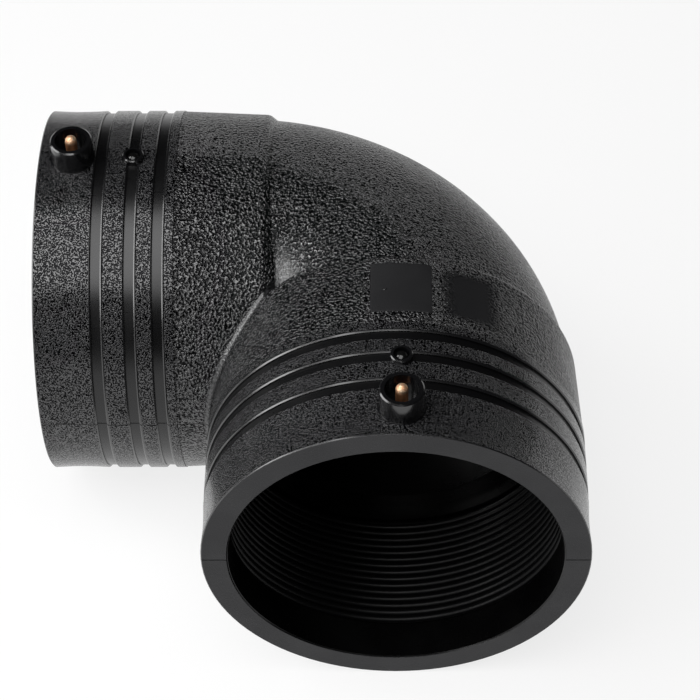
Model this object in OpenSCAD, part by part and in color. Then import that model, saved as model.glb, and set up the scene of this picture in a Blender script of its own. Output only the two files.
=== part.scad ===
// Ninety degree electrofusion elbow for polyethylene pressure pipe.
// Two sockets, each with a heating coil in its bore, a shrouded terminal pin and a fusion indicator.
// It is drawn lying flat, as it rests: the parting plane of the moulding is level and the terminals
// point up. The origin is on the floor, under the middle of the elbow's box.

/* [Pipe] */
// Outside diameter of the pipe that each socket takes
pipe_d = 110; // [100:1:120]
// Gap between the pipe and the socket, all round
pipe_gap = 0.4; // [0.2:0.05:0.8]
// How far the pipe goes in, from the mouth to the stop
stop_depth = 66; // [64:0.5:74]

/* [Sockets] */
// Wall of a socket at its mouth
socket_wall = 8.9; // [8:0.1:11]
// Bevel round the mouth's outer edge
lip_bevel = 0.4; // [0.2:0.05:0.8]
// Bevel round the mouth's inner edge
mouth_bevel = 0.5; // [0.2:0.05:0.8]
// How much the first land draws in at its middle
land_waist = 0.35; // [0.1:0.05:0.5]
// Distance from the mouth to each groove
groove_starts = [19.6, 30.9, 40.4];
// Width of a groove
groove_w = 3.3; // [2:0.1:4]
// Depth of a groove
groove_depth = 0.9; // [0.4:0.1:1.2]
// Bevel on the edges of a groove
groove_bevel = 0.4; // [0.1:0.05:0.6]
// Distance from the mouth to the end of the last land
lands_end = 47.3; // [45:0.1:50]
// Step down from the last land to the grained sleeve
sleeve_step = 0.25; // [0.1:0.05:0.5]
// How much the grained sleeve tapers on its way to the shoulder
sleeve_taper = 1.35; // [0.5:0.05:2]
// How far each sleeve runs on past the pipe stop
sleeve_reach = 16; // [14:0.5:18]
// Length of the shoulder where a sleeve slopes down to the bend
shoulder_run = 4.3; // [3:0.1:6]
// Height of that shoulder
shoulder_drop = 3.4; // [2.5:0.1:4]
// Bevel on the shoulder's upper edge
shoulder_bevel = 0.8; // [0.3:0.1:1.5]

/* [Bend] */
// Width of the ledge that stops the pipe, between the bore and the waterway
stop_ledge = 6.4; // [5:0.1:10]
// Wall of the bend round the waterway
bend_wall = 12.2; // [11.5:0.1:13]
// Distance along the socket's axis from the corner of one bore to the other bore's wall
stop_corner_gap = 1; // [0.6:0.1:2]
// Straight run between the pipe stop and the bend
bend_run_in = 1.1; // [0.6:0.1:1.4]
// How far the throat's rounding centres lie above and below the parting plane
throat_flat = 18.6; // [14:0.1:22]

/* [Heating coil] */
// Diameter of the coated wire in the coil
coat_d = 2.4; // [1.6:0.1:2.6]
// Diameter of the bare wire that links the two coils
wire_d = 1; // [0.6:0.1:1.4]
// Distance between turns
turn_pitch = 2.9; // [2.7:0.05:3.1]
// Turns in each socket
turns = 15; // [10:1:15]
// Distance from the mouth to the coil's recess
cold_zone = 14; // [13:0.1:15]
// Radius of the bends where the link leaves a coil
link_bend_r = 3; // [2:0.1:4]

/* [Terminals] */
// Distance from the mouth to the terminal
terminal_at = 11.8; // [11:0.1:13]
// How far terminals and indicators lie to the outer side of the crown
crown_offset = 1.8; // [0:0.1:3]
// Diameter of the contact pin
pin_d = 4; // [3:0.1:4.7]
// Extra radius of the pin's moulded-in root
pin_root_extra = 0.4; // [0.2:0.1:0.8]
// Diameter of the pin's foot on the coil
pin_foot_d = 6.4; // [6:0.1:8]
// Thickness of the pin's foot
pin_foot_t = 1.4; // [1:0.1:2]
// How far the pin stands above the shroud's rim
pin_proud = 1.5; // [0:0.1:2.5]
// Outside diameter of the shroud at its rim
shroud_d = 14.4; // [13.5:0.1:16]
// Inside diameter of the shroud
shroud_bore_d = 11; // [10:0.1:12]
// Height of the shroud's rim above the land
shroud_h = 8.1; // [6:0.1:10]
// Extra radius of the shroud at its base
shroud_draft = 0.35; // [0.1:0.05:0.6]
// Height of the shroud's floor above the land
shroud_floor = 0.5; // [0.3:0.1:1.5]
// Bevel on the shroud's rim
shroud_bevel = 0.45; // [0.2:0.05:0.7]

/* [Fusion indicators] */
// Outside diameter of the indicator's collar
collar_d = 7.4; // [7.2:0.1:9]
// Height of the collar above the land
collar_h = 1.3; // [0.8:0.1:2]
// Bevel on the collar's rim
collar_bevel = 0.35; // [0.1:0.05:0.5]
// Diameter of the indicator's well
well_d = 5.2; // [4.6:0.1:5.6]
// Gap between the indicator and its well, all round
indicator_gap = 0.12; // [0.05:0.01:0.25]
// How far the indicator's crown stands below the collar's rim
indicator_sunk = 0.1; // [0:0.05:0.6]
// Height of the indicator's domed crown
indicator_dome = 1.6; // [0.8:0.1:2]
// Skin left between the well and the coil's recess
well_skin = 1.4; // [1:0.1:2]

/* [Fit] */
// Gap round the moulded-in wire and pins
mould_gap = 0.05; // [0.02:0.01:0.1]

/* [Hidden] */
$fn = 144;

bore_r = pipe_d / 2 + pipe_gap;
land_r = bore_r + socket_wall;
centre_to_mouth = stop_depth + bore_r + stop_corner_gap;
bend_r = bore_r + stop_corner_gap - bend_run_in;
waterway_r = bore_r - stop_ledge;
bend_outer_r = waterway_r + bend_wall;
sleeve_end = stop_depth + sleeve_reach;
sleeve_start_r = land_r - sleeve_step;
sleeve_end_r = sleeve_start_r - sleeve_taper;
shoulder_at = sleeve_end - shoulder_run;
overlap = 1;

coat_r = coat_d / 2;
wire_r = wire_d / 2;
recess_r = bore_r + coat_d + 2 * mould_gap;
coil_r = bore_r + mould_gap + coat_r;
coil_start = cold_zone + coat_r + mould_gap;
coil_end = coil_start + turns * turn_pitch;
recess_end = coil_end + coat_r + mould_gap;
turn_tilt = atan(turn_pitch / 4 / coil_r);
link_tuck = 6;

pin_r = pin_d / 2;
pin_root_r = pin_r + pin_root_extra;
pin_foot_r = pin_foot_d / 2;
shroud_r = shroud_d / 2;
shroud_top = land_r + shroud_h;
shroud_base = recess_r + (land_r - recess_r) / 2;
shroud_floor_z = land_r + shroud_floor;
pin_top = shroud_top + pin_proud;

collar_r = collar_d / 2;
collar_top = land_r + collar_h;
well_r = well_d / 2;
well_floor = recess_r + well_skin;
indicator_at = groove_starts[1] + groove_w / 2;
indicator_r = well_r - indicator_gap;
indicator_top = collar_top - indicator_sunk;
dome_r = (pow(indicator_r, 2) + pow(indicator_dome, 2)) / (2 * indicator_dome);

// From the crossing of the two socket axes to the origin on the floor
to_floor = [(centre_to_mouth - land_r) / 2, (centre_to_mouth - land_r) / 2, land_r];

// Sections of a socket are drawn with the radius along X and the distance from the mouth along Y

module on_left() {
    translate([-centre_to_mouth, 0, 0]) children();
}

module on_front() {
    mirror([1, -1, 0]) on_left() children();
}

module on_both() {
    on_left() children();
    on_front() children();
}

module turned_on_socket_axis() {
    rotate([0, 90, 0]) rotate_extrude() children();
}

module at_crown(distance) {
    translate([distance, crown_offset, 0]) children();
}

// Outside of a socket and its sleeve

module socket_outline() {
    taper_slope = sleeve_taper / (shoulder_at - lands_end);
    shoulder_slope = shoulder_drop / shoulder_run;
    bevel_end = shoulder_bevel / 2;
    difference() {
        polygon([
            [0, 0],
            [land_r - lip_bevel, 0],
            [land_r, lip_bevel],
            [land_r, lands_end],
            [sleeve_start_r, lands_end],
            [sleeve_end_r + shoulder_bevel * taper_slope, shoulder_at - shoulder_bevel],
            [sleeve_end_r - bevel_end * shoulder_slope, shoulder_at + bevel_end],
            [sleeve_end_r - shoulder_drop, sleeve_end],
            [0, sleeve_end]
        ]);
        first_land_waist();
        for (start = groove_starts) translate([land_r, start]) groove_section();
    }
}

// A square groove whose top edges are bevelled, with its zero at the land's surface
module groove_section() {
    polygon([
        [-groove_depth, 0],
        [-groove_bevel, 0],
        [0, -groove_bevel],
        [overlap, -groove_bevel],
        [overlap, groove_w + groove_bevel],
        [0, groove_w + groove_bevel],
        [-groove_bevel, groove_w],
        [-groove_depth, groove_w]
    ]);
}

// The first land's shallow hollow is an arc through the land's two edges
module first_land_waist() {
    half_span = (groove_starts[0] - lip_bevel) / 2;
    waist_r = (pow(half_span, 2) + pow(land_waist, 2)) / (2 * land_waist);
    translate([land_r - land_waist + waist_r, lip_bevel + half_span]) circle(waist_r, $fn = 720);
}

// Section of the bend: a full round outside, and a throat that is drawn in and flattened

module bend_outline() {
    throat_r = bend_outer_r - throat_flat;
    intersection() {
        circle(bend_outer_r);
        translate([0, -bend_outer_r]) square([bend_outer_r, 2 * bend_outer_r]);
    }
    intersection() {
        union() {
            translate([0, throat_flat]) circle(throat_r);
            translate([0, -throat_flat]) circle(throat_r);
            translate([-throat_r, -throat_flat]) square([throat_r, 2 * throat_flat]);
        }
        translate([-throat_r, -bend_outer_r]) square([throat_r, 2 * bend_outer_r]);
    }
}

module swept_round_bend() {
    translate([-bend_r, -bend_r, 0]) rotate_extrude(angle = 90) translate([bend_r, 0]) children();
}

// Hollow of a socket: mouth, coil recess, pipe stop and the start of the waterway

module socket_hollow() {
    polygon([
        [0, -overlap],
        [bore_r + mouth_bevel, -overlap],
        [bore_r + mouth_bevel, 0],
        [bore_r, mouth_bevel],
        [bore_r, cold_zone],
        [recess_r, cold_zone],
        [recess_r, recess_end],
        [bore_r, recess_end],
        [bore_r, stop_depth],
        [waterway_r, stop_depth],
        [waterway_r, stop_depth + bend_run_in],
        [0, stop_depth + bend_run_in]
    ]);
}

module shroud() {
    difference() {
        rotate_extrude() polygon([
            [0, shroud_base],
            [shroud_r + shroud_draft, shroud_base],
            [shroud_r, shroud_top - shroud_bevel],
            [shroud_r - shroud_bevel, shroud_top],
            [0, shroud_top]
        ]);
        translate([0, 0, shroud_floor_z])
            cylinder(r = shroud_bore_d / 2, h = shroud_top - shroud_floor_z + overlap);
    }
}

module collar() {
    rotate_extrude() polygon([
        [0, well_floor],
        [collar_r, well_floor],
        [collar_r, collar_top - collar_bevel],
        [collar_r - collar_bevel, collar_top],
        [0, collar_top]
    ]);
}

module pin_seat() {
    seat_foot = coil_r;
    foot_top = recess_r + pin_foot_t + mould_gap;
    translate([0, 0, seat_foot]) cylinder(r = pin_foot_r + mould_gap, h = foot_top - seat_foot);
    translate([0, 0, foot_top - overlap / 2])
        cylinder(r = pin_root_r + mould_gap, h = shroud_floor_z - foot_top + overlap);
}

module indicator_well() {
    translate([0, 0, well_floor]) cylinder(r = well_r, h = collar_top - well_floor + overlap);
}

// One moulding: sockets, bend, shrouds and collars

module elbow_body() {
    color([0.07, 0.07, 0.075]) translate(to_floor) difference() {
        union() {
            on_both() turned_on_socket_axis() socket_outline();
            swept_round_bend() bend_outline();
            on_both() at_crown(terminal_at) shroud();
            on_both() at_crown(indicator_at) collar();
        }
        on_both() turned_on_socket_axis() socket_hollow();
        swept_round_bend() circle(waterway_r);
        link_path(wire_r + mould_gap);
        on_both() at_crown(terminal_at) pin_seat();
        on_both() at_crown(indicator_at) indicator_well();
    }
}

// One wire: a coil in each socket, joined by a link that is moulded into the bend's crown.
// Each half turn is a level arc tipped up by the same angle, first one way and then the other,
// so the arcs meet end to end in one continuous coil.

module half_turn(number) {
    side = number % 2;
    tip = side == 0 ? turn_tilt : -turn_tilt;
    translate([0, 0, (number + 0.5) * turn_pitch / 2])
        rotate([0, tip, 0]) rotate([0, 0, 180 * side])
            rotate_extrude(angle = 180) translate([coil_r / cos(turn_tilt), 0]) circle(coat_r, $fn = 32);
}

module coil() {
    translate([coil_start, 0, 0]) rotate([0, 90, 0]) rotate([0, 0, 180])
        for (number = [0 : 2 * turns - 1]) half_turn(number);
}

module link_path(radius) {
    on_both() {
        translate([coil_end + link_bend_r, 0, coil_r]) rotate([0, 0, 180 - link_tuck])
            rotate_extrude(angle = 90 + link_tuck) translate([link_bend_r, 0]) circle(radius, $fn = 32);
        translate([coil_end + link_bend_r, -link_bend_r, coil_r]) rotate([0, 90, 0])
            cylinder(r = radius, h = centre_to_mouth - bend_r - coil_end - link_bend_r, $fn = 32);
    }
    translate([-bend_r, -bend_r, coil_r]) rotate_extrude(angle = 90)
        translate([bend_r - link_bend_r, 0]) circle(radius, $fn = 32);
}

module heating_wire() {
    color([0.1, 0.1, 0.105]) translate(to_floor) {
        on_both() coil();
        link_path(wire_r);
    }
}

module terminal_pin() {
    translate([0, 0, recess_r]) cylinder(r = pin_foot_r, h = pin_foot_t);
    translate([0, 0, recess_r]) cylinder(r = pin_root_r, h = shroud_floor_z - recess_r);
    translate([0, 0, shroud_floor_z]) cylinder(r = pin_r, h = pin_top - pin_r - shroud_floor_z);
    translate([0, 0, pin_top - pin_r]) sphere(pin_r);
}

module left_terminal_pin() {
    color([0.72, 0.5, 0.3]) translate(to_floor) on_left() at_crown(terminal_at) terminal_pin();
}

module front_terminal_pin() {
    color([0.72, 0.5, 0.3]) translate(to_floor) on_front() at_crown(terminal_at) terminal_pin();
}

// The indicator stands on the skin at the bottom of its well and has a low domed crown

module fusion_indicator() {
    intersection() {
        translate([0, 0, well_floor]) cylinder(r = indicator_r, h = indicator_top - well_floor);
        union() {
            translate([0, 0, indicator_top - dome_r]) sphere(dome_r);
            translate([0, 0, well_floor])
                cylinder(r = indicator_r, h = indicator_top - indicator_dome - well_floor);
        }
    }
}

module left_fusion_indicator() {
    color([0.02, 0.02, 0.02]) translate(to_floor) on_left() at_crown(indicator_at) fusion_indicator();
}

module front_fusion_indicator() {
    color([0.02, 0.02, 0.02]) translate(to_floor) on_front() at_crown(indicator_at) fusion_indicator();
}

elbow_body();
heating_wire();
left_terminal_pin();
front_terminal_pin();
left_fusion_indicator();
front_fusion_indicator();
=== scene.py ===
"""Finishes, moulding details, stage, light and camera for an electrofusion elbow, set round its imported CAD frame."""

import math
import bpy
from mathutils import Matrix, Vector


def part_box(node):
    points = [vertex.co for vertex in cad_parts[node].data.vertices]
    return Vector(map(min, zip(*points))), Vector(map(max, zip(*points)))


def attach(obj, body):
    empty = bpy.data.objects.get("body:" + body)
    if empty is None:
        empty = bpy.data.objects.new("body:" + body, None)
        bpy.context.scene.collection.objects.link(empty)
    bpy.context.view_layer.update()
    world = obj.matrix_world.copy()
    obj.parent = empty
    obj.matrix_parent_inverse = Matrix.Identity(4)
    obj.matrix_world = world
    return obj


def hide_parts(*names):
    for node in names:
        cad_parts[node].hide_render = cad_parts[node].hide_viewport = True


bl_info = {
    "name": "Electrofusion Elbow Dresser",
    "version": (1, 0, 0),
    "blender": (4, 5, 0),
    "location": "View3D > Sidebar > Elbow",
    "description": "Adds the finishes, moulding details, stage and camera of an electrofusion elbow",
    "category": "Object",
}

import bpy
from mathutils import Matrix, Vector

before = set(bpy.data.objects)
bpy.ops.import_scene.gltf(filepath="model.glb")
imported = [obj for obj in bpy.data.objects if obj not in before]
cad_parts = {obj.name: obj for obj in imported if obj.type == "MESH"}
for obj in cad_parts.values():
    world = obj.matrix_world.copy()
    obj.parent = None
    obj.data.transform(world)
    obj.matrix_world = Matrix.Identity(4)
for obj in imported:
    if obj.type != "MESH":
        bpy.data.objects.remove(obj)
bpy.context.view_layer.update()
MM = 0.001

# The elbow's own measures, in millimetres, as its source gives them
LAND_R = 64.3
CENTRE_TO_MOUTH = 122.4
BEND_R = 55.3
LANDS_END = 47.3
GROOVE_STARTS = (19.6, 30.9, 40.4)
GROOVE_W = 3.3
SLEEVE_START_R = 64.05
SLEEVE_SLOPE = 1.35 / 30.4
SHOULDER_AT = 77.7
SHOULDER_SLOPE = 3.4 / 4.3
SLEEVE_END = 82
CROWN_OFFSET = 1.8
TERMINAL_AT = 11.8
INDICATOR_AT = 32.55
COIL_START = 15.25
COIL_R = 56.65
LINK_BEND_R = 3.0
PLATE_MIDDLE = 63.6
PIP_ALONG = 62.6
PIP_ACROSS = -3.6
CROSSING = (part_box("elbow_body")[1].x / MM - LAND_R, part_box("elbow_body")[1].y / MM - LAND_R, LAND_R)

# Masks of the moulding's zones, in millimetres. A span is 1 between its two values. A fade rises
# from 0 at its first value to 1 at its second.
ZONES = ("Grained", "Land", "Groove", "Edge", "Rounding", "Bore", "Face", "Fitting", "Parting", "Plate", "Patch",
         "Smooth", "Outer")
# Radii, in the sockets and in the bend, at which the inside turns to the outside
SOCKET_WALL_FADE = (58.3, 58.7)
BEND_WALL_FADE = (51, 52)
# The fittings: their height over the axes, and how far a shroud and a collar reach from their own axes
CROWN_FADE = (60, 61)
SHROUD_FADE = (7.85, 7.6)
COLLAR_FADE = (4.05, 3.9)
# The mouth's face, by its distance from the mouth's plane and its radius
MOUTH_FADE = (0.14, 0.06)
FACE_R_FADE = (55.3, 55.6)
# The grooves, by their distance from the mouth and their radius
GROOVES_SPAN = (19.3, 44.2)
GROOVE_R_FADE = (63.85, 63.7)
# Worn edges: how far they reach along the socket, the slope of their rounding, and where it sets in
LIP_EDGE = 0.42
LIP_ROUNDING = 0.4
GROOVE_ROUNDING = 0.9
ROUNDING_SLOPE = -0.45
WORN_FADE = (-8, -24)
# The bare plate, its pip and the bare patch on the upper side of the front sleeve; turns are in radians
FRONT_FADE = (-0.1, 0.1)
UPPER_FADE = (20, 22)
PLATE_ALONG_SPAN = (52.35, 74.85)
PLATE_ACROSS_SPAN = (-8.3, 11.9)
PIP_FADE = (0.62, 0.5)
PATCH_ALONG_SPAN = (52.6, 73.0)
PATCH_TURN_SPAN = (0.275, 0.54)
PARTING_SPAN = (-0.22, 0.22)
# The smoother inner corner of the bend and valley of the sleeves, and the outer side, which is rougher and darker with
# painted shade
CORNER_FADE = (-21, -32)
VALLEY_FADE = (3.0, 1.0)
OUTER_FADE = (0, 38)

# How rough each zone is, in the order in which they cover each other, and the share of sheen that it loses; the sheen
# lost in the pits, in the bore and on the outer side is painted shade
PLAIN_ROUGHNESS = 0.3
ZONE_ROUGHNESS = (("Grained", 0.14), ("Outer", 0.3), ("Smooth", 0.26), ("Land", 0.2), ("Groove", 0.3),
                  ("Edge", 0.26), ("Face", 0.60), ("Fitting", 0.18), ("Bore", 0.30))
BARE_ROUGHNESS = 0.62
ZONE_DULLNESS_AND_SHADE = (("Groove", 0.5), ("Face", 0.55), ("Fitting", 0.15), ("Plate", 0.5), ("Patch", 0.5), ("Bore", 0.6),
                 ("Parting", 0.8), ("Land", 0.06), ("Outer", 0.4))
PIT_SHADE_SHARE = 0.9
SMOOTHING = 0.8
CLOUD_ROUGHNESS = 0.07
RUB_GLOSS = 0.05
# The grains: noise cells to a pitch, and fades of the noise and of the height, from 0 to 1. Past the top fades the
# crests and specks get painted glints, which the outer side partly loses; below the pit fades the pits get painted
# shade
PEBBLE_CELLS = 1.75
PEBBLE_CREST_FADE = (0.3, 0.7)
PEBBLE_PIT_SHADE_FADE = (0.56, 0.12)
PEBBLE_GLINT_FADE = (0.7, 1.0)
SAND_CELLS = 1.6
SAND_SPECK_FADE = (0.4, 0.62)
SAND_PIT_SHADE_FADE = (0.7, 0.1)
SAND_GLINT_FADE = (0.5, 0.9)
OUTER_GLINT_LOSS = 0.8
FACE_TOOTH = 0.3
PARTING_DEPTH = 0.00012
BARE_COLOUR = (0.0065, 0.0065, 0.008)
FACE_COLOUR = (0.022, 0.022, 0.0245)
FACE_COVER = 0.7
PARTING_COLOUR = (0.001, 0.001, 0.001)
PARTING_COVER = 0.85
PLASTIC_IOR = 1.8
# Heights on the contact pins, in metres, between which their lower part turns darker
PIN_ROOT_DARK_FADE = (0.1372, 0.1352)

# Lamps: azimuth from the front to the right, elevation, size in metres, the stage's property with the
# radiance, and the share of it
LAMPS = (("overhead_box", -24, 70, (1.0, 1.1), "top_light", 1.0),
         ("left_box", -98, 47, (0.5, 0.4), "side_light", 1.0),
         ("low_left_strip", -84, 24, (1.2, 0.5), "strip_light", 1.0),
         ("front_strip", -43, 23, (0.6, 0.3), "strip_light", 0.7))
LAMP_DISTANCE = 1.25
FLOOR_SIZE = 40
FLOOR_COLOUR = (0.93, 0.93, 0.93)
FLOOR_GLOW = 0.8


class ElbowFinish(bpy.types.PropertyGroup):
    """Colours, painted glints and painted shade, and surface textures of the moulding and its metal"""

    plastic: bpy.props.FloatVectorProperty(
        name="Black plastic", description="Colour of the carbon black polyethylene",
        default=(0.004, 0.004, 0.0046), subtype="COLOR", size=3, min=0, max=1)
    # The bore's colour is darker than the plastic's: painted shade inside the sockets, which the wire coating shares
    bore_shade: bpy.props.FloatVectorProperty(
        name="Bore", description="Colour of the smooth plastic inside the sockets",
        default=(0.0015, 0.0015, 0.0017), subtype="COLOR", size=3, min=0, max=1)
    # The crests' paler colour is a painted glint: it stands for the sheen that their slopes catch, seen from every
    # side
    crest: bpy.props.FloatVectorProperty(
        name="Grain crests", description="Colour of the crests of the grain, paler with handling",
        default=(0.026, 0.026, 0.028), subtype="COLOR", size=3, min=0, max=1)
    pebble_pitch: bpy.props.FloatProperty(
        name="Pebble pitch", description="Distance between the ridges of the coarse grain",
        default=0.0015, min=0.0005, max=0.004, precision=5, subtype="DISTANCE", unit="LENGTH")
    pebble_depth: bpy.props.FloatProperty(
        name="Pebble depth", description="Height of the ridges of the coarse grain",
        default=0.0005, min=0, max=0.0008, precision=5, subtype="DISTANCE", unit="LENGTH")
    sand_pitch: bpy.props.FloatProperty(
        name="Sand pitch", description="Distance between the specks of the fine grain on the lands",
        default=0.00074, min=0.0002, max=0.002, precision=5, subtype="DISTANCE", unit="LENGTH")
    sand_depth: bpy.props.FloatProperty(
        name="Sand depth", description="Height of the specks of the fine grain on the lands",
        default=0.0001, min=0, max=0.0004, precision=5, subtype="DISTANCE", unit="LENGTH")
    brass: bpy.props.FloatVectorProperty(
        name="Brass", description="Colour of the contact pins",
        default=(0.95, 0.72, 0.5), subtype="COLOR", size=3, min=0, max=1)
    tarnish: bpy.props.FloatVectorProperty(
        name="Tarnish", description="Colour of the darker film on the contact pins",
        default=(0.6, 0.24, 0.09), subtype="COLOR", size=3, min=0, max=1)


class ElbowDetail(bpy.types.PropertyGroup):
    """Sizes of the details that are added to the moulding"""

    fillet_r: bpy.props.FloatProperty(
        name="Valley fillet", description="Radius of the fillet in the valley between the sleeves",
        default=0.0028, min=0.0005, max=0.005, precision=4, subtype="DISTANCE", unit="LENGTH")
    plate_w: bpy.props.FloatProperty(
        name="Plate width", description="Width of the bare marking plate, round the front sleeve",
        default=0.0203, min=0.01, max=0.03, precision=4, subtype="DISTANCE", unit="LENGTH")
    plate_l: bpy.props.FloatProperty(
        name="Plate length", description="Length of the bare marking plate, along the front sleeve",
        default=0.0226, min=0.01, max=0.024, precision=4, subtype="DISTANCE", unit="LENGTH")
    coil_pitch: bpy.props.FloatProperty(
        name="Coil pitch", description="Distance between the turns of the heating coils",
        default=0.0029, min=0.0025, max=0.0032, precision=4, subtype="DISTANCE", unit="LENGTH")
    coil_turns: bpy.props.IntProperty(
        name="Coil turns", description="Turns of wire in each socket", default=15, min=8, max=15)
    coat_d: bpy.props.FloatProperty(
        name="Coated wire", description="Diameter of the coated wire in the coils",
        default=0.0024, min=0.001, max=0.0026, precision=4, subtype="DISTANCE", unit="LENGTH")
    link_d: bpy.props.FloatProperty(
        name="Link wire", description="Diameter of the bare wire that joins the coils",
        default=0.001, min=0.0005, max=0.0015, precision=4, subtype="DISTANCE", unit="LENGTH")


class ElbowStage(bpy.types.PropertyGroup):
    """Camera, lamps and floor"""

    azimuth: bpy.props.FloatProperty(
        name="Azimuth", description="Camera's turn to the right of the front socket's axis",
        default=math.radians(1.362), subtype="ANGLE", unit="ROTATION")
    elevation: bpy.props.FloatProperty(
        name="Elevation", description="Camera's height above the level",
        default=math.radians(48.118), subtype="ANGLE", unit="ROTATION")
    roll: bpy.props.FloatProperty(
        name="Roll", description="Camera's turn about its own line of sight",
        default=math.radians(-1.112), subtype="ANGLE", unit="ROTATION")
    distance: bpy.props.FloatProperty(
        name="Distance", description="From the crossing of the socket axes to the camera",
        default=0.8988, subtype="DISTANCE", unit="LENGTH")
    slide: bpy.props.FloatVectorProperty(
        name="Slide", description="How far the camera is moved to its right and up",
        default=(-0.01626, -0.02215), size=2, subtype="XYZ", unit="LENGTH")
    lens: bpy.props.FloatProperty(
        name="Lens", description="Focal length on a 36 mm wide sensor",
        default=127.9, min=20, max=300, unit="CAMERA")
    top_light: bpy.props.FloatProperty(
        name="Top light", description="Radiance of the soft box overhead", default=3.5, min=0, max=30)
    side_light: bpy.props.FloatProperty(
        name="Side light", description="Radiance of the soft box on the left", default=6.0, min=0, max=30)
    strip_light: bpy.props.FloatProperty(
        name="Strip light", description="Radiance of the low strips on the left", default=4.8, min=0, max=30)
    room: bpy.props.FloatProperty(
        name="Room", description="Radiance of the room round the stage", default=0.02, min=0, max=1)


class Sums:
    """Writes arithmetic as nodes in one node tree"""

    def __init__(self, tree):
        self.tree = tree

    def node(self, kind, **settings):
        """A new node with the given settings"""
        made = self.tree.nodes.new(kind)
        for name, value in settings.items():
            setattr(made, name, value)
        return made

    def join(self, value, socket):
        """Links a socket's output, or sets a plain value"""
        if isinstance(value, bpy.types.NodeSocket):
            self.tree.links.new(value, socket)
        else:
            socket.default_value = value

    def math(self, operation, *values, clamp=False):
        """The result of a math node"""
        made = self.node("ShaderNodeMath", operation=operation, use_clamp=clamp)
        for value, socket in zip(values, made.inputs):
            self.join(value, socket)
        return made.outputs[0]

    def rise(self, value, low, high):
        """0 below low, 1 above high, smooth between; low may lie above high"""
        made = self.node("ShaderNodeMapRange", interpolation_type="SMOOTHSTEP")
        self.join(value, made.inputs["Value"])
        made.inputs["From Min"].default_value = low
        made.inputs["From Max"].default_value = high
        return made.outputs[0]

    def span(self, value, low, high, soft=0.05):
        """1 between low and high, 0 outside"""
        up = self.rise(value, low - soft, low + soft)
        down = self.rise(value, high + soft, high - soft)
        return self.math("MULTIPLY", up, down)

    def mix(self, factor, low, high):
        """A number between low and high"""
        made = self.node("ShaderNodeMix", data_type="FLOAT")
        self.join(factor, made.inputs[0])
        self.join(low, made.inputs[2])
        self.join(high, made.inputs[3])
        return made.outputs[0]

    def blend(self, factor, low, high):
        """A colour between low and high"""
        made = self.node("ShaderNodeMix", data_type="RGBA")
        self.join(factor, made.inputs[0])
        self.join(low, made.inputs[6])
        self.join(high, made.inputs[7])
        return made.outputs[2]

    def noise(self, place, scale, detail=0.0, rough=0.5):
        """Cloudy noise round a half"""
        made = self.node("ShaderNodeTexNoise")
        self.join(place, made.inputs["Vector"])
        made.inputs["Scale"].default_value = scale
        made.inputs["Detail"].default_value = detail
        made.inputs["Roughness"].default_value = rough
        return made.outputs["Fac"]

    def group(self, name, **values):
        """A node that runs one of the shared groups"""
        made = self.node("ShaderNodeGroup")
        made.node_tree = bpy.data.node_groups[name]
        for key, value in values.items():
            self.join(value, made.inputs[key])
        return made


def new_group(name, inputs, outputs):
    """A node group with inputs of given kinds and plain numbers as outputs"""
    tree = bpy.data.node_groups.new(name, "ShaderNodeTree")
    for label, kind in inputs:
        tree.interface.new_socket(label, in_out="INPUT", socket_type=kind)
    for label in outputs:
        tree.interface.new_socket(label, in_out="OUTPUT", socket_type="NodeSocketFloat")
    sums = Sums(tree)
    return sums, sums.node("NodeGroupInput"), sums.node("NodeGroupOutput")


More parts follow.
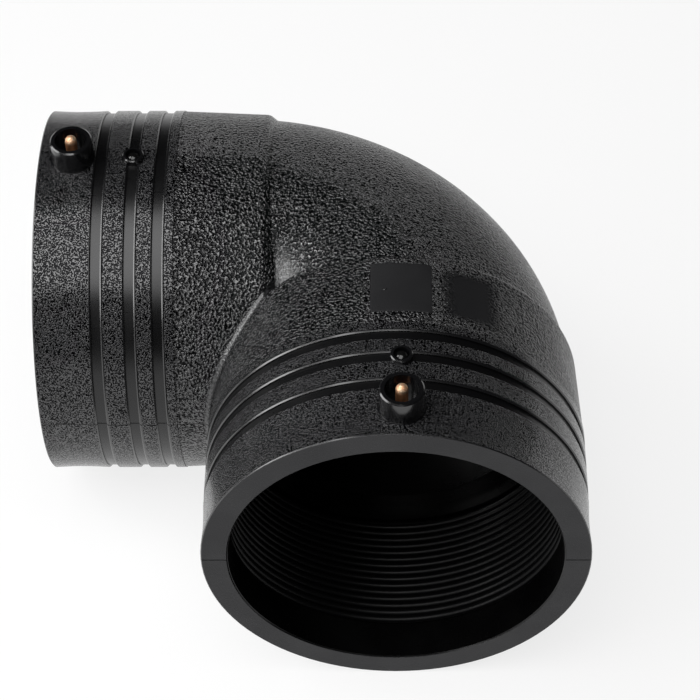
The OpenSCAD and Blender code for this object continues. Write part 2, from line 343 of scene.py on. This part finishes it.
def make_zones_group():
    """Masks for the zones of the moulding, and the height by which its worn edges fall away, from a place on it"""
    sums, given, put = new_group("moulding_zones", (("Place", "NodeSocketVector"),), ZONES)
    shifted = sums.node("ShaderNodeVectorMath", operation="MULTIPLY_ADD")
    sums.join(given.outputs["Place"], shifted.inputs[0])
    shifted.inputs[1].default_value = (1 / MM,) * 3
    shifted.inputs[2].default_value = tuple(-v for v in CROSSING)
    parted = sums.node("ShaderNodeSeparateXYZ")
    sums.join(shifted.outputs[0], parted.inputs[0])
    x, y, z = parted.outputs

    def both(a, b):
        return sums.math("MULTIPLY", a, b)

    def either(a, b):
        return sums.math("MAXIMUM", a, b)

    def without(a):
        return sums.math("SUBTRACT", 1.0, a)

    def distance(a, b, from_a=0.0, from_b=0.0):
        a, b = sums.math("SUBTRACT", a, from_a), sums.math("SUBTRACT", b, from_b)
        return sums.math("SQRT", sums.math("ADD", sums.math("MULTIPLY", a, a), sums.math("MULTIPLY", b, b)))

    # Distance from the mouth along the nearer socket's axis, and from that axis to the outer side of the elbow
    along = sums.math("ADD", sums.math("MINIMUM", x, y), CENTRE_TO_MOUTH)
    across = either(x, y)
    radius = distance(across, z)
    from_bend_line = sums.math("SUBTRACT", distance(x, y, -BEND_R, -BEND_R), BEND_R)
    on_bend = sums.rise(along, SLEEVE_END - 0.05, SLEEVE_END + 0.05)
    outward = sums.mix(on_bend, across, from_bend_line)
    outside = sums.mix(on_bend, sums.rise(radius, *SOCKET_WALL_FADE),
                       sums.rise(distance(from_bend_line, z), *BEND_WALL_FADE))

    near_terminal = sums.rise(distance(along, across, TERMINAL_AT, CROWN_OFFSET), *SHROUD_FADE)
    near_indicator = sums.rise(distance(along, across, INDICATOR_AT, CROWN_OFFSET), *COLLAR_FADE)
    fitting = both(sums.rise(z, *CROWN_FADE), either(near_terminal, near_indicator))
    face = both(sums.rise(along, *MOUTH_FADE), sums.rise(radius, *FACE_R_FADE))
    shell = both(outside, without(either(face, fitting)))
    on_socket = sums.rise(along, LANDS_END + 0.12, LANDS_END + 0.02)
    in_grooves = both(sums.span(along, *GROOVES_SPAN), sums.rise(radius, *GROOVE_R_FADE))

    edge = sums.span(along, -0.05, LIP_EDGE, 0.04)
    round_off = 0.0
    for start in GROOVE_STARTS:
        edge = either(edge, sums.span(along, start + GROOVE_W - 0.1, start + GROOVE_W + GROOVE_ROUNDING, 0.06))
        edge = either(edge, sums.span(along, start - 0.45, start + 0.1, 0.06))
    edge = both(shell, edge)
    for start, reach in [(0.0, LIP_ROUNDING)] + [(start + GROOVE_W, GROOVE_ROUNDING) for start in GROOVE_STARTS]:
        step = sums.math("SUBTRACT", along, start)
        inside = both(sums.math("GREATER_THAN", step, 0.0), sums.math("LESS_THAN", step, reach))
        round_off = sums.math("ADD", round_off, both(step, inside))
    round_off = both(both(round_off, sums.rise(across, *WORN_FADE)), ROUNDING_SLOPE * MM)
    land = both(both(shell, on_socket), without(either(in_grooves, edge)))

    on_crown = both(sums.rise(z, *UPPER_FADE), sums.rise(sums.math("SUBTRACT", x, y), *FRONT_FADE))
    plate = both(on_crown, both(sums.span(along, *PLATE_ALONG_SPAN, 0.1), sums.span(across, *PLATE_ACROSS_SPAN, 0.1)))
    pip = both(plate, sums.rise(distance(along, across, PIP_ALONG, PIP_ACROSS), *PIP_FADE))
    plate = sums.math("SUBTRACT", plate, pip)
    turn = sums.math("ARCTAN2", across, z)
    patch = both(on_crown, both(sums.span(along, *PATCH_ALONG_SPAN, 2.6), sums.span(turn, *PATCH_TURN_SPAN, 0.07)))
    grained = both(both(shell, without(on_socket)), without(either(plate, patch)))

    corner = both(on_bend, sums.rise(outward, *CORNER_FADE))
    off_mitre = sums.math("ABSOLUTE", sums.math("SUBTRACT", x, y))
    valley = both(without(on_bend), sums.rise(off_mitre, *VALLEY_FADE))
    masks = {
        "Grained": grained,
        "Land": land,
        "Groove": both(shell, in_grooves),
        "Edge": edge,
        "Rounding": round_off,
        "Bore": both(without(outside), without(face)),
        "Face": face,
        "Fitting": fitting,
        "Parting": both(sums.span(z, *PARTING_SPAN, 0.06), either(shell, face)),
        "Plate": plate,
        "Patch": patch,
        "Smooth": either(pip, both(shell, either(corner, valley))),
        "Outer": both(grained, sums.rise(outward, *OUTER_FADE)),
    }
    for name in ZONES:
        sums.join(masks[name], put.inputs[name])


GRAIN_INPUTS = (("Place", "NodeSocketVector"), ("Pitch", "NodeSocketFloat"), ("Depth", "NodeSocketFloat"))


def make_pebble_group():
    """Coarse grain of short crooked ridges, as a height in metres and the crests' mask"""
    sums, given, put = new_group("pebble_grain", GRAIN_INPUTS, ("Height", "Crest"))
    scaled = sums.node("ShaderNodeVectorMath", operation="SCALE")
    sums.join(given.outputs["Place"], scaled.inputs[0])
    sums.join(sums.math("DIVIDE", PEBBLE_CELLS, given.outputs["Pitch"]), scaled.inputs["Scale"])
    swirl = sums.noise(scaled.outputs[0], 1.0, 1.2, 0.4)
    crest = sums.rise(swirl, *PEBBLE_CREST_FADE)
    sums.join(sums.math("MULTIPLY", crest, given.outputs["Depth"]), put.inputs["Height"])
    sums.join(crest, put.inputs["Crest"])


def make_sand_group():
    """Fine sandy grain, as a height in metres and a speck mask"""
    sums, given, put = new_group("sand_grain", GRAIN_INPUTS, ("Height", "Speck"))
    scaled = sums.node("ShaderNodeVectorMath", operation="SCALE")
    sums.join(given.outputs["Place"], scaled.inputs[0])
    sums.join(sums.math("DIVIDE", SAND_CELLS, given.outputs["Pitch"]), scaled.inputs["Scale"])
    specks = sums.rise(sums.noise(scaled.outputs[0], 1.0), *SAND_SPECK_FADE)
    sums.join(sums.math("MULTIPLY", specks, given.outputs["Depth"]), put.inputs["Height"])
    sums.join(specks, put.inputs["Speck"])


def make_handling_group():
    """Faint unevenness left by handling: cloudy sheen and a few fine rubs, both from 0 to 1"""
    sums, given, put = new_group("handling_marks", (("Place", "NodeSocketVector"),), ("Cloud", "Rub"))
    place = given.outputs["Place"]
    sums.join(sums.rise(sums.noise(place, 45.0, 3.0, 0.55), 0.35, 0.68), put.inputs["Cloud"])
    turned = sums.node("ShaderNodeMapping")
    sums.join(place, turned.inputs["Vector"])
    turned.inputs["Rotation"].default_value = (0.5, 0.3, 0.9)
    turned.inputs["Scale"].default_value = (1.0, 14.0, 14.0)
    lines = sums.rise(sums.noise(turned.outputs[0], 110.0, 2.0, 0.6), 0.63, 0.72)
    sums.join(lines, put.inputs["Rub"])


def new_material(name):
    """A material, its arithmetic, its shader and the place on the object"""
    material = bpy.data.materials.new(name)
    material.use_nodes = True
    sums = Sums(material.node_tree)
    shader = material.node_tree.nodes["Principled BSDF"]
    place = sums.node("ShaderNodeTexCoord").outputs["Object"]
    return material, sums, shader, place


def add_bump(sums, shader, height):
    """Turns a height in metres into the shader's normal"""
    bump = sums.node("ShaderNodeBump")
    bump.inputs["Strength"].default_value = 1.0
    bump.inputs["Distance"].default_value = 1.0
    sums.join(height, bump.inputs["Height"])
    sums.join(bump.outputs["Normal"], shader.inputs["Normal"])


def rgba(colour):
    return (*colour, 1.0)


def make_body_plastic(finish):
    """Black plastic with a finish for each zone of the moulding"""
    material, sums, shader, place = new_material("black_polyethylene")
    zones = sums.group("moulding_zones", Place=place).outputs
    pebble = sums.group("pebble_grain", Place=place, Pitch=finish.pebble_pitch, Depth=finish.pebble_depth).outputs
    sand = sums.group("sand_grain", Place=place, Pitch=finish.sand_pitch, Depth=finish.sand_depth).outputs
    marks = sums.group("handling_marks", Place=place).outputs
    bare = sums.math("MAXIMUM", zones["Plate"], zones["Patch"])
    coarse = sums.math("MULTIPLY", zones["Grained"],
                       sums.math("SUBTRACT", 1.0, sums.math("MULTIPLY", zones["Smooth"], SMOOTHING)))

    height = zones["Rounding"]
    for mask, relief, share in ((coarse, pebble["Height"], 1.0), (zones["Land"], sand["Height"], 1.0),
                                (zones["Face"], sand["Height"], FACE_TOOTH), (zones["Parting"], PARTING_DEPTH, -1.0)):
        height = sums.math("ADD", height, sums.math("MULTIPLY", sums.math("MULTIPLY", mask, relief), share))
    add_bump(sums, shader, height)

    # Painted shade in the pits of the grain: there the dark plastic is shaded as a metal of the same colour, so that
    # it mirrors nothing
    pit_shade = sums.math("ADD", sums.math("MULTIPLY", coarse, sums.rise(pebble["Crest"], *PEBBLE_PIT_SHADE_FADE)),
                     sums.math("MULTIPLY", zones["Land"], sums.rise(sand["Speck"], *SAND_PIT_SHADE_FADE)))
    dullness_and_shade = sums.math("MULTIPLY", pit_shade, PIT_SHADE_SHARE)
    # Each zone's dullness; on the bore and on the outer side it is painted shade
    for zone, share in ZONE_DULLNESS_AND_SHADE:
        dullness_and_shade = sums.math("ADD", dullness_and_shade, sums.math("MULTIPLY", zones[zone], share), clamp=True)
    sums.join(dullness_and_shade, shader.inputs["Metallic"])
    shader.inputs["IOR"].default_value = PLASTIC_IOR

    rough = PLAIN_ROUGHNESS
    for zone, value in ZONE_ROUGHNESS:
        rough = sums.mix(zones[zone], rough, value)
    rough = sums.mix(bare, rough, BARE_ROUGHNESS)
    rough = sums.math("ADD", rough, sums.math("MULTIPLY", sums.math("SUBTRACT", marks["Cloud"], 0.5),
                                          CLOUD_ROUGHNESS))
    rough = sums.math("SUBTRACT", rough, sums.math("MULTIPLY", marks["Rub"], RUB_GLOSS), clamp=True)
    sums.join(rough, shader.inputs["Roughness"])

    # Painted glints: the crests of the pebbles and the specks of the sand are paler, and less so on the outer side
    painted_glint = sums.math("ADD", sums.math("MULTIPLY", zones["Grained"], sums.rise(pebble["Crest"], *PEBBLE_GLINT_FADE)),
                       sums.math("MULTIPLY", zones["Land"], sums.rise(sand["Speck"], *SAND_GLINT_FADE)))
    glint_kept = sums.math("SUBTRACT", 1.0, sums.math("MULTIPLY", zones["Outer"], OUTER_GLINT_LOSS))
    painted_glint = sums.math("MULTIPLY", painted_glint, glint_kept)
    colour = rgba(finish.plastic)
    # The bore's darker colour is painted shade inside the sockets
    for mask, shade in ((painted_glint, finish.crest), (zones["Bore"], finish.bore_shade), (bare, BARE_COLOUR),
                        (sums.math("MULTIPLY", zones["Face"], FACE_COVER), FACE_COLOUR),
                        (sums.math("MULTIPLY", zones["Parting"], PARTING_COVER), PARTING_COLOUR)):
        colour = sums.blend(mask, colour, rgba(shade))
    sums.join(colour, shader.inputs["Base Color"])
    return material


def make_coil_plastic(finish):
    """Dull coating of the heating wire, coloured from the painted shade of the bore"""
    material, sums, shader, place = new_material("wire_coating")
    marks = sums.group("handling_marks", Place=place).outputs
    sums.join(sums.blend(marks["Cloud"], rgba(finish.bore_shade), rgba([v * 1.5 for v in finish.bore_shade])),
              shader.inputs["Base Color"])
    sums.join(sums.mix(marks["Cloud"], 0.46, 0.36), shader.inputs["Roughness"])
    shader.inputs["Specular IOR Level"].default_value = 0.2
    return material


def make_brass(finish):
    """Brass with a mottled film, darker towards the pin's root"""
    material, sums, shader, place = new_material("brass_pin")
    shader.inputs["Metallic"].default_value = 1.0
    film = sums.rise(sums.noise(place, 700.0, 3.0, 0.6), 0.42, 0.6)
    parted = sums.node("ShaderNodeSeparateXYZ")
    sums.join(place, parted.inputs[0])
    low = sums.rise(parted.outputs["Z"], *PIN_ROOT_DARK_FADE)
    shade = sums.math("MAXIMUM", sums.math("MULTIPLY", film, 0.6), sums.math("MULTIPLY", low, 0.85))
    sums.join(sums.blend(shade, rgba(finish.brass), rgba(finish.tarnish)), shader.inputs["Base Color"])
    sums.join(sums.mix(film, 0.48, 0.62), shader.inputs["Roughness"])
    add_bump(sums, shader, sums.math("MULTIPLY", sums.noise(place, 1600.0, 2.0, 0.6), 0.0001))
    return material


def make_gloss_plastic():
    """Glossy black plastic of the fusion indicators"""
    material, sums, shader, place = new_material("indicator_plastic")
    marks = sums.group("handling_marks", Place=place).outputs
    sums.join(sums.blend(marks["Cloud"], (0.002, 0.002, 0.002, 1), (0.004, 0.004, 0.004, 1)),
              shader.inputs["Base Color"])
    sums.join(sums.mix(marks["Rub"], 0.12, 0.2), shader.inputs["Roughness"])
    return material


def paint(target, material):
    """Gives an object one material"""
    target.data.materials.clear()
    target.data.materials.append(material)


def settle(piece):
    """Puts the piece's place into its mesh and leaves the object at the origin"""
    bpy.context.view_layer.update()
    piece.data.transform(piece.matrix_world)
    piece.matrix_world = Matrix.Identity(4)


def select_only(piece):
    """Makes a piece the only selected one, and the active one"""
    bpy.ops.object.select_all(action="DESELECT")
    piece.select_set(True)
    bpy.context.view_layer.objects.active = piece


def mount(piece):
    """Gives a moulded-on piece the moulding's plastic and body"""
    paint(piece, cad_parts["elbow_body"].data.materials[0])
    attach(piece, "root")


def own_point(x, y, z):
    """A point of the elbow's own frame, in millimetres, as a place in the scene"""
    return Vector((x + CROSSING[0], y + CROSSING[1], z + CROSSING[2])) * MM


def close_ends(piece):
    """Caps a tube's open ends and turns its faces outwards"""
    select_only(piece)
    bpy.ops.object.mode_set(mode="EDIT")
    bpy.ops.mesh.select_all(action="SELECT")
    bpy.ops.mesh.remove_doubles(threshold=1e-6)
    bpy.ops.mesh.fill_holes(sides=0)
    bpy.ops.mesh.normals_make_consistent(inside=False)
    bpy.ops.object.mode_set(mode="OBJECT")


def sleeve_r(along):
    """Radius of a grained sleeve or its shoulder at a distance from the mouth"""
    taper = SLEEVE_START_R - (min(along, SHOULDER_AT) - LANDS_END) * SLEEVE_SLOPE
    return taper - max(0, along - SHOULDER_AT) * SHOULDER_SLOPE


class ELBOW_OT_groups(bpy.types.Operator):
    """Builds the node groups that the finishes share"""

    bl_idname = "elbow.groups"
    bl_label = "Shared effects"

    def execute(self, context):
        make_zones_group()
        make_pebble_group()
        make_sand_group()
        make_handling_group()
        return {"FINISHED"}


class ELBOW_OT_body(bpy.types.Operator):
    """Gives the moulding its black plastic, with a grain for each zone"""

    bl_idname = "elbow.body"
    bl_label = "Moulding"

    def execute(self, context):
        paint(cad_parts["elbow_body"], make_body_plastic(context.scene.elbow_finish))
        return {"FINISHED"}


class ELBOW_OT_fillet(bpy.types.Operator):
    """Fills the valley where the two sleeves meet with a rolled fillet"""

    bl_idname = "elbow.fillet"
    bl_label = "Valley fillet"

    def execute(self, context):
        ball = context.scene.elbow_detail.fillet_r / MM
        rings = []
        stations, arc_steps, end_turn, fade_turn, least_share = 120, 14, 48.0, 14, 0.25
        sunk, backing = 0.04, 0.6
        for station in range(stations + 1):
            turn = math.radians(-end_turn + 2 * end_turn * station / stations)
            r = ball * min(1.0, (end_turn - abs(math.degrees(turn))) / fade_turn + least_share)
            reach = SLEEVE_START_R + r
            # The ball's middle lies on the mitre, as far from each axis as the tapered sleeve and the ball reach
            for _ in range(8):
                out = reach * math.cos(turn)
                reach = sleeve_r(CENTRE_TO_MOUTH - out) + r
            centre = Vector((-out, -out, reach * math.sin(turn)))
            to_left = -Vector((SLEEVE_SLOPE, -math.cos(turn), math.sin(turn))).normalized()
            to_front = -Vector((-math.cos(turn), SLEEVE_SLOPE, math.sin(turn))).normalized()
            ring = []
            opening = to_left.angle(to_front)
            for step in range(arc_steps + 1):
                share = step / arc_steps
                aim = (to_left * math.sin((1 - share) * opening)
                       + to_front * math.sin(share * opening)) / math.sin(opening)
                ring.append(centre + aim * (r + sunk * (2 * abs(share - 0.5)) ** 6))
            inward = (to_left + to_front).normalized()
            depth = (r + backing) / math.cos(opening / 2)
            ring.append(centre + inward * depth)
            rings.append(ring)
        size = arc_steps + 2
        points = [own_point(*p) for ring in rings for p in ring]
        faces = [[a * size + b, a * size + (b + 1) % size, (a + 1) * size + (b + 1) % size, (a + 1) * size + b]
                 for a in range(stations) for b in range(size)]
        faces += [list(range(size))[::-1], [stations * size + b for b in range(size)]]
        mesh = bpy.data.meshes.new("valley_fillet")
        mesh.from_pydata(points, [], faces)
        piece = bpy.data.objects.new("valley_fillet", mesh)
        context.collection.objects.link(piece)
        select_only(piece)
        bpy.ops.object.mode_set(mode="EDIT")
        bpy.ops.mesh.select_all(action="SELECT")
        bpy.ops.mesh.normals_make_consistent(inside=False)
        bpy.ops.object.mode_set(mode="OBJECT")
        bpy.ops.object.shade_smooth_by_angle(angle=math.radians(40))
        mount(piece)
        return {"FINISHED"}


class ELBOW_OT_plate(bpy.types.Operator):
    """Lays the bare marking plate on the front sleeve, with the pip of its insert"""

    bl_idname = "elbow.plate"
    bl_label = "Marking plate"

    def execute(self, context):
        detail = context.scene.elbow_detail
        width, length = detail.plate_w / MM, detail.plate_l / MM
        corner, proud, buried, bevel = 1.4, 0.1, 0.5, 0.08
        pip_r, pip_h, pip_sunk, pip_bevel = 0.45, 0.8, 0.1, 0.3
        bpy.ops.object.select_all(action="DESELECT")
        bpy.ops.mesh.primitive_grid_add(x_subdivisions=36, y_subdivisions=28, size=1)
        piece = context.object
        piece.name = "marking_plate"
        for vertex in piece.data.vertices:
            x, y = vertex.co.x * width, vertex.co.y * length
            over_x, over_y = abs(x) - (width / 2 - corner), abs(y) - (length / 2 - corner)
            if over_x > 0 and over_y > 0 and math.hypot(over_x, over_y) > corner:
                pull = corner / math.hypot(over_x, over_y)
                x = math.copysign(width / 2 - corner + over_x * pull, x)
                y = math.copysign(length / 2 - corner + over_y * pull, y)
            along, across = PLATE_MIDDLE + y, CROWN_OFFSET + x
            radius = sleeve_r(along) + proud
            vertex.co = own_point(across, along - CENTRE_TO_MOUTH, math.sqrt(radius ** 2 - across ** 2))
        select_only(piece)
        shell = piece.modifiers.new("wall", "SOLIDIFY")
        shell.thickness = buried * MM
        shell.offset = -1
        edge = piece.modifiers.new("edge", "BEVEL")
        edge.width = bevel * MM
        edge.segments = 2
        edge.limit_method = "ANGLE"
        for modifier in ("wall", "edge"):
            bpy.ops.object.modifier_apply(modifier=modifier)
        bpy.ops.object.shade_smooth_by_angle(angle=math.radians(30))
        mount(piece)

        radius = sleeve_r(PIP_ALONG) + proud
        bpy.ops.object.select_all(action="DESELECT")
        bpy.ops.mesh.primitive_cylinder_add(
            vertices=24, radius=pip_r * MM, depth=pip_h * MM,
            location=own_point(PIP_ACROSS, PIP_ALONG - CENTRE_TO_MOUTH,
                               math.sqrt(radius ** 2 - PIP_ACROSS ** 2) - pip_sunk))
        pip = context.object
        pip.name = "plate_pip"
        settle(pip)
        crown = pip.modifiers.new("crown", "BEVEL")
        crown.width = pip_bevel * MM
        crown.segments = 4
        crown.limit_method = "ANGLE"
        select_only(pip)
        bpy.ops.object.modifier_apply(modifier="crown")
        bpy.ops.object.shade_smooth_by_angle(angle=math.radians(40))
        mount(pip)
        return {"FINISHED"}


class ELBOW_OT_wire(bpy.types.Operator):
    """Winds the heating wire: a coil in each socket and the link that joins them"""

    bl_idname = "elbow.wire"
    bl_label = "Heating wire"

    def wind_coil(self, detail, front):
        """One socket's coil; the front socket's is the mirror of the left one's"""
        wire_sides, turn_steps = 14, 96
        bpy.ops.object.select_all(action="DESELECT")
        bpy.ops.mesh.primitive_circle_add(vertices=wire_sides, radius=detail.coat_d / 2,
                                          location=own_point(COIL_START - CENTRE_TO_MOUTH, 0, COIL_R),
                                          rotation=(math.radians(90), 0, 0))
        coil = bpy.context.object
        coil.name = "front_coil" if front else "left_coil"
        settle(coil)
        axis = own_point(COIL_START - CENTRE_TO_MOUTH, 0, 0)
        coil.data.transform(Matrix.Translation(-axis))
        winding = coil.modifiers.new("winding", "SCREW")
        winding.axis = "X"
        winding.angle = math.tau
        winding.screw_offset = detail.coil_pitch
        winding.iterations = detail.coil_turns
        winding.steps = winding.render_steps = turn_steps
        bpy.ops.object.modifier_apply(modifier="winding")
        coil.data.transform(Matrix.Translation(axis))
        if front:
            over = Vector((CROSSING[0], CROSSING[1], 0)) * MM
            swapped = Matrix(((0, 1, 0, 0), (1, 0, 0, 0), (0, 0, 1, 0), (0, 0, 0, 1)))
            coil.data.transform(Matrix.Translation(over) @ swapped @ Matrix.Translation(-over))
        close_ends(coil)
        return coil

    def draw_link(self, detail):
        """The bare wire in the crown of the bend, from one coil's end to the other's"""
        corner_steps, bend_steps, first_turn = 12, 32, -6
        coil_end = COIL_START + detail.coil_turns * detail.coil_pitch / MM - CENTRE_TO_MOUTH
        left = [(coil_end + LINK_BEND_R - LINK_BEND_R * math.cos(turn), -LINK_BEND_R * math.sin(turn))
                for turn in [math.radians(first_turn + (90 - first_turn) * step / corner_steps)
                             for step in range(corner_steps + 1)]]
        sweep = BEND_R - LINK_BEND_R
        bend = [(-BEND_R + sweep * math.sin(turn), -BEND_R + sweep * math.cos(turn))
                for turn in [math.radians(90 * step / bend_steps) for step in range(bend_steps + 1)]]
        route = left + bend + [(y, x) for x, y in reversed(left)]
        curve = bpy.data.curves.new("coil_link", "CURVE")
        curve.dimensions = "3D"
        curve.bevel_depth = detail.link_d / 2
        curve.bevel_resolution = 2
        curve.use_fill_caps = True
        line = curve.splines.new("POLY")
        line.points.add(len(route) - 1)
        for point, (x, y) in zip(line.points, route):
            point.co = (*own_point(x, y, COIL_R), 1)
        link = bpy.data.objects.new("coil_link", curve)
        bpy.context.collection.objects.link(link)
        select_only(link)
        bpy.ops.object.convert(target="MESH")
        return bpy.context.object

    def execute(self, context):
        detail = context.scene.elbow_detail
        coating = make_coil_plastic(context.scene.elbow_finish)
        paint(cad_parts["heating_wire"], coating)
        for piece in (self.wind_coil(detail, False), self.wind_coil(detail, True), self.draw_link(detail)):
            select_only(piece)
            bpy.ops.object.shade_smooth_by_angle(angle=math.radians(50))
            paint(piece, coating)
            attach(piece, "root")
            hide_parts("heating_wire")
        return {"FINISHED"}


class ELBOW_OT_pins(bpy.types.Operator):
    """Gives the two contact pins their brass"""

    bl_idname = "elbow.pins"
    bl_label = "Contact pins"

    def execute(self, context):
        brass = make_brass(context.scene.elbow_finish)
        for side in ("left", "front"):
            paint(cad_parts[side + "_terminal_pin"], brass)
        return {"FINISHED"}


class ELBOW_OT_indicators(bpy.types.Operator):
    """Gives the two fusion indicators their glossy plastic"""

    bl_idname = "elbow.indicators"
    bl_label = "Fusion indicators"

    def execute(self, context):
        gloss = make_gloss_plastic()
        for side in ("left", "front"):
            paint(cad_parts[side + "_fusion_indicator"], gloss)
        return {"FINISHED"}


class ELBOW_OT_studio(bpy.types.Operator):
    """Sets the floor, the lamps and the camera"""

    bl_idname = "elbow.studio"
    bl_label = "Studio"

    def add_lamp(self, name, azimuth, elevation, size, radiance):
        """A soft box aimed at the elbow's middle"""
        target = Vector((0, 0, CROSSING[2] * MM))
        turn, rise = math.radians(azimuth), math.radians(elevation)
        place = target + LAMP_DISTANCE * Vector((math.sin(turn) * math.cos(rise), -math.cos(turn) * math.cos(rise),
                                                 math.sin(rise)))
        bpy.ops.object.light_add(type="AREA", location=place)
        lamp = bpy.context.object
        lamp.name = name
        lamp.data.shape = "RECTANGLE"
        lamp.data.size, lamp.data.size_y = size
        lamp.data.energy = radiance * math.pi * size[0] * size[1]
        lamp.rotation_euler = (place - target).to_track_quat("Z", "Y").to_euler()

    def execute(self, context):
        stage = context.scene.elbow_stage
        crossing = own_point(0, 0, 0)
        back = Vector((math.sin(stage.azimuth) * math.cos(stage.elevation),
                       -math.cos(stage.azimuth) * math.cos(stage.elevation), math.sin(stage.elevation)))
        level = (-back).cross(Vector((0, 0, 1))).normalized()
        rise = level.cross(-back)
        right = level * math.cos(stage.roll) + rise * math.sin(stage.roll)
        up = rise * math.cos(stage.roll) - level * math.sin(stage.roll)
        place = crossing + back * stage.distance + right * stage.slide[0] + up * stage.slide[1]
        bpy.ops.object.camera_add(location=place)
        camera = bpy.context.object
        camera.name = "photo_camera"
        camera.matrix_world = Matrix([(right[i], up[i], back[i], place[i]) for i in range(3)] + [(0, 0, 0, 1)])
        camera.data.sensor_fit = "HORIZONTAL"
        camera.data.sensor_width = 36
        camera.data.lens = stage.lens
        camera.data.clip_end = 60
        context.scene.camera = camera

        bpy.ops.object.select_all(action="DESELECT")
        bpy.ops.mesh.primitive_plane_add(size=FLOOR_SIZE)
        floor = bpy.context.object
        floor.name = "floor"
        material, sums, shader, _ = new_material("white_floor")
        shader.inputs["Base Color"].default_value = rgba(FLOOR_COLOUR)
        shader.inputs["Roughness"].default_value = 0.9
        seen = sums.node("ShaderNodeLightPath").outputs
        lit = sums.math("MAXIMUM", sums.math("MAXIMUM", seen["Is Camera Ray"], seen["Is Glossy Ray"]),
                        seen["Is Transmission Ray"])
        glow = sums.node("ShaderNodeEmission")
        mixer = sums.node("ShaderNodeMixShader")
        sums.join(sums.math("MULTIPLY", lit, FLOOR_GLOW), mixer.inputs[0])
        sums.join(shader.outputs[0], mixer.inputs[1])
        sums.join(glow.outputs[0], mixer.inputs[2])
        sums.join(mixer.outputs[0], material.node_tree.nodes["Material Output"].inputs["Surface"])
        paint(floor, material)

        for name, azimuth, elevation, size, light, share in LAMPS:
            self.add_lamp(name, azimuth, elevation, size, getattr(stage, light) * share)
        world = bpy.data.worlds.new("room")
        context.scene.world = world
        world.use_nodes = True
        room = world.node_tree.nodes["Background"]
        room.inputs["Color"].default_value = (1, 1, 1, 1)
        room.inputs["Strength"].default_value = stage.room
        context.scene.view_settings.view_transform = "Standard"
        return {"FINISHED"}


OPERATORS = (ELBOW_OT_groups, ELBOW_OT_body, ELBOW_OT_fillet, ELBOW_OT_plate, ELBOW_OT_wire, ELBOW_OT_pins,
             ELBOW_OT_indicators, ELBOW_OT_studio)


class ELBOW_PT_dresser(bpy.types.Panel):
    """Lists the elbow's settings and steps"""

    bl_idname = "ELBOW_PT_dresser"
    bl_label = "Electrofusion Elbow"
    bl_space_type = "VIEW_3D"
    bl_region_type = "UI"
    bl_category = "Elbow"

    def draw(self, context):
        for group in (context.scene.elbow_finish, context.scene.elbow_detail, context.scene.elbow_stage):
            box = self.layout.box()
            for name in group.bl_rna.properties.keys():
                if name not in ("rna_type", "name"):
                    box.prop(group, name)
        for operator in OPERATORS:
            self.layout.operator(operator.bl_idname)


CLASSES = (ElbowFinish, ElbowDetail, ElbowStage, *OPERATORS, ELBOW_PT_dresser)


def register():
    for item in CLASSES:
        bpy.utils.register_class(item)
    bpy.types.Scene.elbow_finish = bpy.props.PointerProperty(type=ElbowFinish)
    bpy.types.Scene.elbow_detail = bpy.props.PointerProperty(type=ElbowDetail)
    bpy.types.Scene.elbow_stage = bpy.props.PointerProperty(type=ElbowStage)


def unregister():
    del bpy.types.Scene.elbow_stage, bpy.types.Scene.elbow_detail, bpy.types.Scene.elbow_finish
    for item in reversed(CLASSES):
        bpy.utils.unregister_class(item)


def main():
    register()
    bpy.ops.object.select_all(action="DESELECT")
    for step in ("groups", "body", "fillet", "plate", "wire", "pins", "indicators", "studio"):
        getattr(bpy.ops.elbow, step)()


if __name__ == "__main__":
    main()
